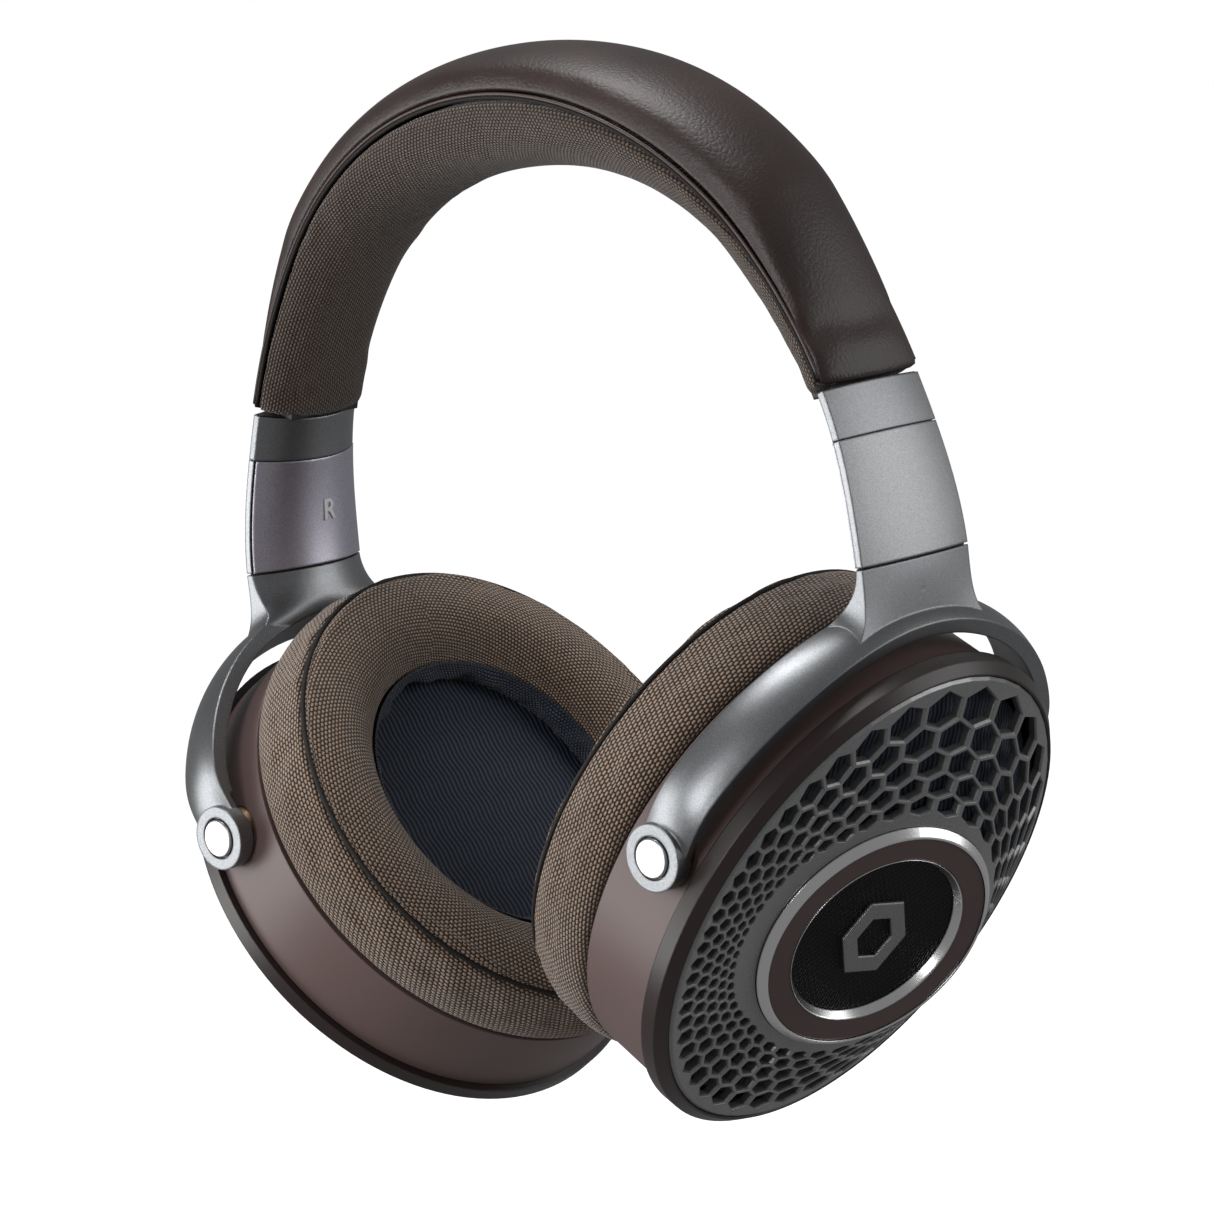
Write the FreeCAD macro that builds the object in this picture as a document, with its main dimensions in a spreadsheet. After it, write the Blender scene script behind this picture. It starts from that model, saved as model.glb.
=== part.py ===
import FreeCAD, Part
import math
import os
import Sketcher

os.makedirs("parts", exist_ok=True)

# Over-ear headphones with open-backed cups, built at full size in millimetres.
# Frame: the origin is the underside of the headband pad at its highest point,
# +Z is up, +X is the wearer's left and the wearer looks along -Y.

# Driving sizes: millimetres, and degrees where the name ends in _deg
sizes = {
    # arch of the headband, measured along the seam between leather and pad
    "top_radius": 68.56, "side_radius": 100.0, "join_deg": 52.15,
    "seam_rise": 14.0, "cap_top_deg": 70.5, "cap_low_deg": 75.5, "neck_deg": 88.0,
    "apex_half": 15.8, "cap_half": 12.65, "neck_half": 14.2,
    "leather_apex": 8.0, "leather_end": 2.0, "pad_end": 7.4,
    # steel spring inside the headband
    "spring_half": 11.0, "spring_thick": 1.2, "spring_deep": 2.2, "spring_deg": 50.0,
    # flat strip that slides in the headband
    "splay_deg": 19.0, "strip_half": 7.0, "strip_thick": 1.6, "strip_up": 34.5,
    "strip_down": 7.0, "strip_deep": 3.2, "guide_up": 36.5, "guide_wall": 1.4,
    # bowed section of the caps, sliders and necks
    "bulge_out": 1.2, "bulge_in": 5.2, "edge_thick": 1.3, "shell_thick": 1.3,
    # swivel between slider and yoke
    "shaft_r": 2.0, "shaft_up": 8.0, "shaft_low": 5.4, "bush_wall": 1.1,
    # where the cup hangs from the bottom of the slider
    "hang_in": 26.7, "hang_down": 55.6, "cup_tilt_deg": 32.8,
    # cup shell
    "housing_r": 46.0, "housing_back": 12.3, "housing_wall": 2.2, "flange_r": 36.5,
    "rim_r": 48.0, "rim_low": 3.4, "rim_high": 6.4, "ledge_r": 42.6,
    # grille and the round badge in its middle
    "grille_r": 45.8, "grille_edge": 8.2, "grille_thick": 1.7, "grille_rim": 2.0,
    "eye_high": 13.65, "eye_drop": 4.8, "eye_turn_deg": 15.2, "bezel_r": 23.4,
    "badge_r": 21.7, "badge_in_r": 17.3, "mesh_r": 16.2, "cell_count": 36.0,
    # speaker driver, its baffle and the ear pad
    "driver_r": 20.0, "driver_back": 17.0, "magnet_r": 14.0, "magnet_high": 3.5,
    "baffle_r": 43.0, "baffle_thick": 2.0, "ring_r": 44.6, "ring_thick": 1.8,
    "ring_in_r": 30.0, "pad_r": 45.5, "pad_seam": 26.8, "pad_crown": 30.0,
    "pad_crown_r": 38.0, "pad_hole_r": 28.0, "pad_top": 13.0,
    # yoke arms and the pins the cup tilts on
    "pin_r": 2.0, "pin_head_r": 3.5, "pin_low": 3.3, "pin_up": 13.4, "boss_r": 5.8,
    "boss_in": 46.2, "boss_out": 49.3, "arm_in_r": 50.0, "arm_thick": 3.8,
    "arm_half": 5.0, "neck_flare": 6.6,
    # cable socket in the bottom of the left cup
    "jack_r": 1.8, "jack_deep": 15.0, "jack_body_r": 3.4, "jack_back": 4.6,
    # screws that hold the baffle to the cup's flange
    "screw_ring": 39.6, "screw_r": 1.1, "screw_head_r": 1.9,
    # named clearances
    "gap": 0.1, "turn_gap": 0.4, "run_gap": 0.05, "slide_gap": 0.2, "soft_gap": 0.3,
}

doc = FreeCAD.newDocument("headphones")
sheet = doc.addObject("Spreadsheet::Sheet", "Sizes")
for row, name in enumerate(sizes, start=1):
    sheet.set("A%d" % row, name)
    sheet.set("B%d" % row, repr(sizes[name]))
    sheet.setAlias("B%d" % row, name)
doc.recompute()


def size(name):
    return float(getattr(sheet, name))


def term(word):
    if word[0].isdigit():
        return float(word)
    return size(word)


# A formula is a short sum of sheet names and numbers, such as "rim_r - gap".
def value(formula):
    result, sign = 0.0, 1.0
    for word in formula.split():
        if word in "+-":
            sign = 1.0 if word == "+" else -1.0
        else:
            result += sign * term(word)
            sign = 1.0
    return result


def linked(formula):
    words = []
    for word in formula.split():
        plain = word in "+-" or word[0].isdigit()
        words.append(word if plain else "Sizes." + word)
    return " ".join(words)


def origin_plane(body, role):
    return [item for item in body.Origin.OriginFeatures if item.Role == role][0]


def new_sketch(body, role, name, offset=None):
    sketch = body.newObject("Sketcher::SketchObject", name)
    sketch.AttachmentSupport = (origin_plane(body, role), [""])
    sketch.MapMode = "FlatFace"
    if offset is not None:
        sketch.AttachmentOffset = offset
    return sketch


# Hold one corner of a sketch at a place given by two formulas.
def hold(sketch, line, end, across, up):
    for kind, formula, axis in (("DistanceX", across, -2), ("DistanceY", up, -1)):
        if abs(value(formula)) < 1e-9:
            sketch.addConstraint(Sketcher.Constraint("PointOnObject", line, end, axis))
            continue
        rule = Sketcher.Constraint(kind, -1, 1, line, end, value(formula))
        number = sketch.addConstraint(rule)
        sketch.setExpression("Constraints[%d]" % number, linked(formula))


def outline(sketch, corners):
    spots = [FreeCAD.Vector(value(a), value(b), 0) for a, b in corners]
    count = len(spots)
    lines = []
    for i in range(count):
        piece = Part.LineSegment(spots[i], spots[(i + 1) % count])
        lines.append(sketch.addGeometry(piece, False))
    for i in range(count):
        following = lines[(i + 1) % count]
        sketch.addConstraint(Sketcher.Constraint("Coincident", lines[i], 2, following, 1))
    for i in range(count):
        hold(sketch, lines[i], 1, corners[i][0], corners[i][1])


def circle(sketch, radius, across="0", up="0"):
    centre = FreeCAD.Vector(value(across), value(up), 0)
    ring = Part.Circle(centre, FreeCAD.Vector(0, 0, 1), value(radius))
    number = sketch.addGeometry(ring, False)
    rule = sketch.addConstraint(Sketcher.Constraint("Radius", number, value(radius)))
    sketch.setExpression("Constraints[%d]" % rule, linked(radius))
    hold(sketch, number, 3, across, up)


nodes = []


# A solid through a row of closed wires, turned right side out if it needs it.
def loft(wires, ruled=False):
    solid = Part.makeLoft(wires, True, ruled)
    if solid.Volume < 0:
        solid.reverse()
    return solid


def new_body(label):
    body = doc.addObject("PartDesign::Body", label)
    body.Label = label
    nodes.append(body)
    return body


# A turned piece: corners are (radius, height) formulas, turned round local Z.
def turned(label, corners, place, extra=None):
    body = new_body(label)
    sketch = new_sketch(body, "XZ_Plane", label + "_profile")
    outline(sketch, corners)
    turn = body.newObject("PartDesign::Revolution", label + "_turn")
    turn.Profile = sketch
    turn.ReferenceAxis = (sketch, ["V_Axis"])
    turn.Angle = 360.0
    doc.recompute()
    if extra is not None:
        extra(body)
    body.Placement = place
    return body


# Cut round holes through a turned piece along one of its own axes.
def drill(body, name, role, spots, radius, shift):
    before = body.Shape.Volume
    sketch = new_sketch(body, role, name + "_holes", shift)
    for across, up in spots:
        circle(sketch, radius, across, up)
    cut = body.newObject("PartDesign::Pocket", name + "_cut")
    cut.Profile = sketch
    cut.Type = 1
    body.Tip = cut
    doc.recompute()
    if body.Shape.Volume > before - 0.01:
        cut.Reversed = True
        doc.recompute()
    if body.Shape.Volume > before - 0.01:
        raise RuntimeError(name + " cut nothing")


# A finished solid that is a loft or a boolean of lofts.
def shaped(label, shape, place=None):
    item = doc.addObject("Part::Feature", label)
    item.Label = label
    item.Shape = shape.removeSplitter()
    if place is not None:
        item.Placement = place
    nodes.append(item)
    return item


# Places in the row frame
top_z = size("seam_rise") - size("top_radius")
join = math.radians(size("join_deg"))
reach = size("side_radius") - size("top_radius")
side_x = -reach * math.sin(join)
side_z = top_z - reach * math.cos(join)


# Seam point and outward direction at an angle from straight up, left side positive.
def seam(angle_deg):
    angle = math.radians(abs(angle_deg))
    if angle <= join:
        across = size("top_radius") * math.sin(angle)
        up = top_z + size("top_radius") * math.cos(angle)
    else:
        across = side_x + size("side_radius") * math.sin(angle)
        up = side_z + size("side_radius") * math.cos(angle)
    sign = 1.0 if angle_deg >= 0 else -1.0
    point = FreeCAD.Vector(sign * across, 0, up)
    outward = FreeCAD.Vector(sign * math.sin(angle), 0, math.cos(angle))
    return point, outward


across_y = FreeCAD.Vector(0, 1, 0)
half_turn = FreeCAD.Rotation(FreeCAD.Vector(0, 0, 1), 180)
flipped = FreeCAD.Placement(FreeCAD.Vector(0, 0, 0), half_turn)
neck_point, neck_out = seam(size("neck_deg"))
cup_x = neck_point.x - size("hang_in")
cup_z = neck_point.z - size("hang_down")
tilt = math.radians(size("cup_tilt_deg"))


# Cup frame: local Z points out of the cup, local X up the cup's face.
def cup_place(side):
    out = FreeCAD.Vector(side * math.cos(tilt), 0, -math.sin(tilt))
    up = FreeCAD.Vector(side * math.sin(tilt), 0, math.cos(tilt))
    turn = FreeCAD.Rotation(up, out.cross(up), out, "ZXY")
    return FreeCAD.Placement(FreeCAD.Vector(side * cup_x, 0, cup_z), turn)


# Badge frame: local Z points out of the badge, which looks a little to the front.
def eye_local(side):
    spot = FreeCAD.Vector(-size("eye_drop"), 0, size("eye_high"))
    lean = FreeCAD.Rotation(FreeCAD.Vector(1, 0, 0), -side * size("eye_turn_deg"))
    return FreeCAD.Placement(spot, lean)


# A closed four-edge section: outer bow, short edge, inner bow, short edge.
# High and low are heights above the seam line at the edges and in the middle.
def bow(point, outward, half, high, mid_high, low, mid_low):
    def spot(height, side):
        return point + outward * height + across_y * (half * side)

    def middle(height):
        return point + outward * height

    outer = Part.Arc(spot(high, -1), middle(mid_high), spot(high, 1)).toShape()
    inner = Part.Arc(spot(low, 1), middle(mid_low), spot(low, -1)).toShape()
    back = Part.LineSegment(spot(high, 1), spot(low, 1)).toShape()
    front = Part.LineSegment(spot(low, -1), spot(high, -1)).toShape()
    return Part.Wire([outer, back, inner, front])


def blend(start, end, share):
    return start + (end - start) * share


def smooth(share):
    share = min(max(share, 0.0), 1.0)
    return share * share * (3.0 - 2.0 * share)


# Half width of the metal parts between the cap and the bottom of the slider.
def metal_half(angle_deg):
    first, last = size("cap_top_deg"), size("neck_deg")
    return blend(size("cap_half"), size("neck_half"), smooth((angle_deg - first) / (last - first)))


def span(start, end, count):
    return [blend(start, end, i / (count - 1.0)) for i in range(count)]


def metal_loft(first, last, shrink, high, mid_high, low, mid_low):
    wires = []
    for angle in span(first, last, 5):
        point, outward = seam(angle)
        half = metal_half(angle) - shrink
        wires.append(bow(point, outward, half, high, mid_high, low, mid_low))
    return loft(wires)


# The straight sliding strip and everything it runs in
low_point, low_out = seam(size("cap_low_deg"))
splay = math.radians(size("splay_deg"))
strip_down = FreeCAD.Vector(math.sin(splay), 0, -math.cos(splay))
strip_out = FreeCAD.Vector(math.cos(splay), 0, math.sin(splay))
strip_origin = low_point - low_out * size("strip_deep")


# A bar along the strip: half width, how far in and out, and its span upwards.
def bar(half, inner, outer, low, high):
    corner = strip_origin - across_y * half + strip_out * inner - strip_down * low
    box = Part.makeBox(outer - inner, 2 * half, high - low)
    turn = FreeCAD.Rotation(strip_out, across_y, strip_down * -1, "ZXY")
    box.Placement = FreeCAD.Placement(corner, turn)
    return box


half_strip = size("strip_thick") / 2
slide_gap = size("slide_gap")
slot_half = size("strip_half") + slide_gap
slot_deep = half_strip + slide_gap
guide_half = slot_half + size("guide_wall")
guide_deep = slot_deep + size("guide_wall")
cap_bore = bar(slot_half, -slot_deep, slot_deep, -4.0, size("guide_up") + 6.0)
strip_room = bar(size("strip_half") + size("gap"), -half_strip - size("gap"),
                 half_strip + size("gap"), -size("strip_down") - size("gap"), 6.0)

# End cap: the metal collar that closes the headband.
cap = metal_loft(size("cap_top_deg"), size("cap_low_deg") - 0.05, 0.0,
                 0.0, size("bulge_out"), -size("edge_thick"),
                 -size("edge_thick") - size("bulge_in")).cut(cap_bore)
shaped("left_end_cap", cap)
shaped("right_end_cap", cap, flipped)

# Guide: a sleeve hidden in the headband, cut off square just above the cap.
cap_top_point, cap_top_out = seam(size("cap_top_deg"))
cap_top_up = across_y.cross(cap_top_out)
if cap_top_up.z < 0:
    cap_top_up = cap_top_up * -1
above = Part.makeBox(60, 60, 80, FreeCAD.Vector(-30, -30, 0))
above_turn = FreeCAD.Rotation(cap_top_out, across_y, cap_top_up, "ZXY")
above.Placement = FreeCAD.Placement(cap_top_point + cap_top_up * size("gap"), above_turn)
window = bar(2.2, slot_deep - 0.2, guide_deep + 0.2, 22.0, 32.0)
sleeve = bar(guide_half, -guide_deep, guide_deep, 4.0, size("guide_up"))
sleeve = sleeve.common(above).cut(cap_bore).cut(window)
shaped("left_slider_guide", sleeve)
shaped("right_slider_guide", sleeve, flipped)

# Detent leaf: sits in the guide's window with its tip just off the strip.
leaf = bar(2.0, slot_deep + 0.3, slot_deep + 0.7, 22.2, 31.8)
nub = bar(1.2, slot_deep - 0.05, slot_deep + 0.3, 26.4, 27.6)
shaped("left_detent_spring", leaf.fuse(nub))
shaped("right_detent_spring", leaf.fuse(nub), flipped)

# Strip: row of shallow notches on its outer face for the leaf.
strip = bar(size("strip_half"), -half_strip, half_strip, -size("strip_down"), size("strip_up"))
for step in range(8):
    notch = bar(1.6, half_strip - 0.3, half_strip + 1.0, 2.0 + 3.0 * step, 3.0 + 3.0 * step)
    strip = strip.cut(notch)
shaped("left_slider_strip", strip)
shaped("right_slider_strip", strip, flipped)

# Swivel shaft axis: middle of the slider's section, along the bottom tangent.
mid_deep = (size("edge_thick") + size("bulge_in") - size("bulge_out")) / 2
neck_down = FreeCAD.Vector(neck_out.z, 0, -neck_out.x)
swivel_point = neck_point - neck_out * mid_deep


def post(radius, top, bottom):
    start = swivel_point - neck_down * top
    return Part.makeCylinder(radius, top - bottom, start, neck_down)


# Slider covers: a thin outer shell and the deep bowed plate behind it.
first = size("cap_low_deg") + 0.05
last = size("neck_deg") - math.degrees(size("turn_gap") / 2 / size("side_radius"))
shell_low = -size("shell_thick")
shell = metal_loft(first, last, 0.0, 0.0, size("bulge_out"), shell_low,
                   shell_low + size("bulge_out"))
shaped("left_slider_outer_shell", shell)
shaped("right_slider_outer_shell", shell, flipped)
plate = metal_loft(first, last, 0.35, shell_low - size("gap"),
                   shell_low + size("bulge_out") - size("gap"), shell_low - 0.5,
                   -size("edge_thick") - size("bulge_in"))
plate = plate.cut(strip_room)
plate = plate.cut(post(size("shaft_r") + size("run_gap"), size("shaft_up") + 0.2, -2.0))
shaped("left_slider_inner_plate", plate)
shaped("right_slider_inner_plate", plate, flipped)
shaft = post(size("shaft_r"), size("shaft_up"), -size("shaft_low"))
shaped("left_swivel_shaft", shaft)
shaped("right_swivel_shaft", shaft, flipped)

# Yoke: two arms round the cup and a neck up to the swivel
left_cup = cup_place(1)
cup_out = left_cup.Rotation.multVec(FreeCAD.Vector(0, 0, 1))
cup_up = left_cup.Rotation.multVec(FreeCAD.Vector(1, 0, 0))


# Point of the left cup: out along its axis, up its face, and along Y.
def on_cup(out, up, along):
    return left_cup.Base + cup_out * out + cup_up * up + across_y * along


# One arm section in the plane that holds the cup's axis and a radius.
def arm_section(angle_deg):
    angle = math.radians(angle_deg)
    away = min(angle_deg, 180.0 - angle_deg)
    pin_deg = math.degrees(math.atan2(size("pin_up"), size("boss_in") + 1.6))
    rise = smooth((away - pin_deg) / 14.0)
    crest = smooth((away - 50.0) / 40.0)
    low_r = blend(size("boss_in") + 1.9, size("arm_in_r"), rise)
    thick = blend(size("boss_out") - size("boss_in") - 0.4, size("arm_thick"), rise)
    middle = -size("pin_low") - 0.5 * crest
    half = blend(size("arm_half"), size("arm_half") - 0.7, crest)

    def spot(out, radius):
        return on_cup(out, radius * math.sin(angle), -radius * math.cos(angle))

    high_r = low_r + thick
    shoulder = high_r - 1.0
    inner = Part.LineSegment(spot(middle - half, low_r), spot(middle + half, low_r)).toShape()
    right = Part.LineSegment(spot(middle + half, low_r), spot(middle + half, shoulder)).toShape()
    outer = Part.Arc(spot(middle + half, shoulder), spot(middle, high_r),
                     spot(middle - half, shoulder)).toShape()
    left = Part.LineSegment(spot(middle - half, shoulder), spot(middle - half, low_r)).toShape()
    return Part.Wire([inner, right, outer, left])


arms = loft([arm_section(a) for a in (14, 19, 25, 33, 45, 60, 75, 90,
                                      105, 120, 135, 147, 155, 161, 166)])

# Neck sections swing from the slider's plane to the plane of the arms' crest.
crest_mid = -size("pin_low") - 0.5
crest_half = size("arm_half") - 0.7
neck_top = neck_point + neck_down * (size("turn_gap") / 2)
arm_out_r = size("arm_in_r") + size("arm_thick")
neck_wires = []
for share in (0.0, 0.2, 0.4, 0.58, 0.74, 0.88, 1.0):
    ease = smooth(share)
    end_edge = on_cup(crest_mid + crest_half, arm_out_r - 5.6, 0)
    point = neck_top + (end_edge - neck_top) * share
    outward = (neck_out * (1.0 - ease) + cup_out * ease).normalize()
    flare = size("neck_half") + size("neck_flare") * share ** 4.2
    deep = blend(size("edge_thick"), 2 * crest_half - 1.0, ease)
    high_mid = blend(size("bulge_out"), 0.3, ease)
    low_mid = blend(size("edge_thick") + size("bulge_in"), 2 * crest_half, ease)
    neck_wires.append(bow(point, outward, flare, 0.0, high_mid, -deep, -low_mid))
neck = loft(neck_wires)
clear = Part.makeCylinder(size("arm_in_r"), 60, on_cup(-30, 0, 0), cup_out)
neck = neck.cut(clear)
yoke = arms.fuse(neck)
for way in (-1, 1):
    spot = on_cup(-size("pin_low"), size("pin_up"), way * size("boss_in"))
    length = size("boss_out") - size("boss_in")
    yoke = yoke.fuse(Part.makeCylinder(size("boss_r"), length, spot, across_y * way))
for way in (-1, 1):
    spot = on_cup(-size("pin_low"), size("pin_up"), way * (size("boss_in") - 3))
    yoke = yoke.cut(Part.makeCylinder(size("boss_r") + 2, 3, spot, across_y * way))
    yoke = yoke.cut(Part.makeCylinder(size("pin_r") + size("gap"), 12, spot, across_y * way))
    spot = on_cup(-size("pin_low"), size("pin_up"), way * (size("boss_out") - 1.2))
    yoke = yoke.cut(Part.makeCylinder(size("pin_head_r") + 0.3, 6, spot, across_y * way))
bush_r = size("shaft_r") + size("run_gap") + size("bush_wall")
yoke = yoke.cut(post(bush_r, 1.0, -size("shaft_low") - 0.4))
shaped("left_yoke", yoke)
shaped("right_yoke", yoke, flipped)
bush = post(bush_r, -size("turn_gap") / 2, -size("shaft_low") - 0.2)
bush = bush.cut(post(size("shaft_r") + size("run_gap"), 2.0, -size("shaft_low") - 0.1))
shaped("left_swivel_bush", bush)
shaped("right_swivel_bush", bush, flipped)


# Pivot pins: a head in the yoke's end and a shank into the cup's bush.
def pin_pair():
    solids = []
    for way in (-1, 1):
        head = on_cup(-size("pin_low"), size("pin_up"), way * (size("boss_out") - 1.1))
        shank = on_cup(-size("pin_low"), size("pin_up"), way * (size("boss_in") - 4.6))
        length = size("boss_out") - size("boss_in") - 1.1 + 4.6
        cap_solid = Part.makeCylinder(size("pin_head_r"), 1.5, head, across_y * way)
        cap_solid = cap_solid.makeChamfer(0.3, [cap_solid.Edges[0]])
        rod = Part.makeCylinder(size("pin_r"), length, shank, across_y * way)
        solids.append(cap_solid.fuse(rod))
    return Part.makeCompound(solids)


pins = pin_pair()
shaped("left_pivot_pins", pins)
shaped("right_pivot_pins", pins, flipped)

# Cups

def screw_spots(radius):
    return [("0 + " + radius, "0"), ("0 - " + radius, "0"),
            ("0", "0 + " + radius), ("0", "0 - " + radius)]


# Push a hole for each pivot bush, and on the left one for the cable socket, through the wall.
def housing_holes(body):
    shift = FreeCAD.Placement(FreeCAD.Vector(0, 0, -60), FreeCAD.Rotation())
    sketch = new_sketch(body, "XZ_Plane", body.Label + "_pin_holes", None)
    circle(sketch, "pin_r + 2.6", "pin_up", "0 - pin_low")
    cut = body.newObject("PartDesign::Pocket", body.Label + "_pin_cut")
    cut.Profile = sketch
    cut.Type = 1
    cut.SideType = "Symmetric"
    body.Tip = cut
    doc.recompute()
    if body.Label.startswith("left"):
        sketch = new_sketch(body, "YZ_Plane", body.Label + "_jack_hole", shift)
        circle(sketch, "jack_body_r + gap", "0", "0 - jack_back")
        cut = body.newObject("PartDesign::Pocket", body.Label + "_jack_cut")
        cut.Profile = sketch
        cut.Length = 30.0
        body.Tip = cut
        before = body.Shape.Volume
        doc.recompute()
        if body.Shape.Volume > before - 0.01:
            cut.Reversed = True
            doc.recompute()
    drill(body, body.Label + "_screw", "XY_Plane", screw_spots("screw_ring"),
          "screw_r", FreeCAD.Placement(FreeCAD.Vector(0, 0, -8), FreeCAD.Rotation()))


def baffle_holes(body):
    drill(body, body.Label + "_screw", "XY_Plane", screw_spots("screw_ring"),
          "screw_r + gap", FreeCAD.Placement(FreeCAD.Vector(0, 0, 0), FreeCAD.Rotation()))


def circle_edge(radius, height, place=None):
    ring = Part.Circle(FreeCAD.Vector(0, 0, height), FreeCAD.Vector(0, 0, 1), radius).toShape()
    if place is not None:
        ring.Placement = place
    return ring


# A ring-shaped solid whose cross-section has a circle at every corner.
def skew_ring(rings):
    faces = []
    for number, ring in enumerate(rings):
        faces.append(Part.makeRuledSurface(ring, rings[(number + 1) % len(rings)]))
    solid = Part.makeSolid(Part.makeShell(faces))
    if solid.Volume < 0:
        solid.reverse()
    return solid


def hexagon(radius, middle_r, angle_deg):
    points = []
    for corner in range(7):
        turn = math.radians(60.0 * corner + 30.0)
        points.append(FreeCAD.Vector(middle_r + radius * math.cos(turn), radius * math.sin(turn), 0))
    face = Part.Face(Part.makePolygon(points))
    face.rotate(FreeCAD.Vector(0, 0, 0), FreeCAD.Vector(0, 0, 1), angle_deg)
    return face.extrude(FreeCAD.Vector(0, 0, 40))


# Honeycomb: rings of six-sided openings, each ring turned half a step.
def cells():
    count = int(size("cell_count"))
    solids = []
    for ring, (middle_r, radius) in enumerate(((40.9, 2.7), (36.3, 2.4), (32.2, 2.0))):
        for i in range(count):
            solids.append(hexagon(radius, middle_r, (i + 0.5 * (ring % 2)) * 360.0 / count))
    return solids


def make_grille(side):
    eye = eye_local(side)
    thick = size("grille_thick")
    base_z = size("grille_edge") - size("grille_rim")
    hole_r = size("bezel_r") + size("gap")
    body = skew_ring([
        circle_edge(size("grille_r"), base_z),
        circle_edge(size("grille_r"), size("grille_edge")),
        circle_edge(hole_r, -1.2, eye),
        circle_edge(hole_r, -1.2 - thick, eye),
        circle_edge(size("grille_r") - thick - 0.6, base_z)])
    return body.cut(cells())


def make_cloth(side):
    eye = eye_local(side)
    outer_r = size("ledge_r") - size("soft_gap")
    outer_z = size("grille_edge") - size("grille_rim") - 0.8
    inner_r = size("bezel_r") + size("gap")
    inner_w = -1.2 - size("grille_thick") - 0.4
    return skew_ring([
        circle_edge(outer_r, outer_z), circle_edge(inner_r, inner_w, eye),
        circle_edge(inner_r, inner_w - 0.5, eye), circle_edge(outer_r, outer_z - 0.5)])


def make_jack():
    start = size("housing_r") + 0.8
    spot = FreeCAD.Vector(-start, 0, -size("jack_back"))
    inward = FreeCAD.Vector(1, 0, 0)
    body = Part.makeCylinder(size("jack_body_r"), size("jack_deep") + 1.2, spot, inward)
    return body.cut(Part.makeCylinder(size("jack_r"), size("jack_deep"), spot, inward))


def make_bushes():
    solids = []
    for way in (-1, 1):
        spot = FreeCAD.Vector(size("pin_up"), way * (size("boss_in") - 5.0), -size("pin_low"))
        along = FreeCAD.Vector(0, way, 0)
        ring = Part.makeCylinder(size("pin_r") + 2.5, 4.4, spot, along)
        solids.append(ring.cut(Part.makeCylinder(size("pin_r") + size("run_gap"), 4.4, spot, along)))
    return Part.makeCompound(solids)


def make_screws():
    solids = []
    back = -size("housing_back") - size("gap") - size("baffle_thick")
    for quarter in range(4):
        turn = math.radians(90.0 * quarter)
        x = size("screw_ring") * math.cos(turn)
        y = size("screw_ring") * math.sin(turn)
        head = Part.makeCylinder(size("screw_head_r"), 0.9, FreeCAD.Vector(x, y, back - 0.9))
        rod = Part.makeCylinder(size("screw_r") - 0.02, 3.9, FreeCAD.Vector(x, y, back))
        solids.append(head.fuse(rod))
    return Part.makeCompound(solids)


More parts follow.
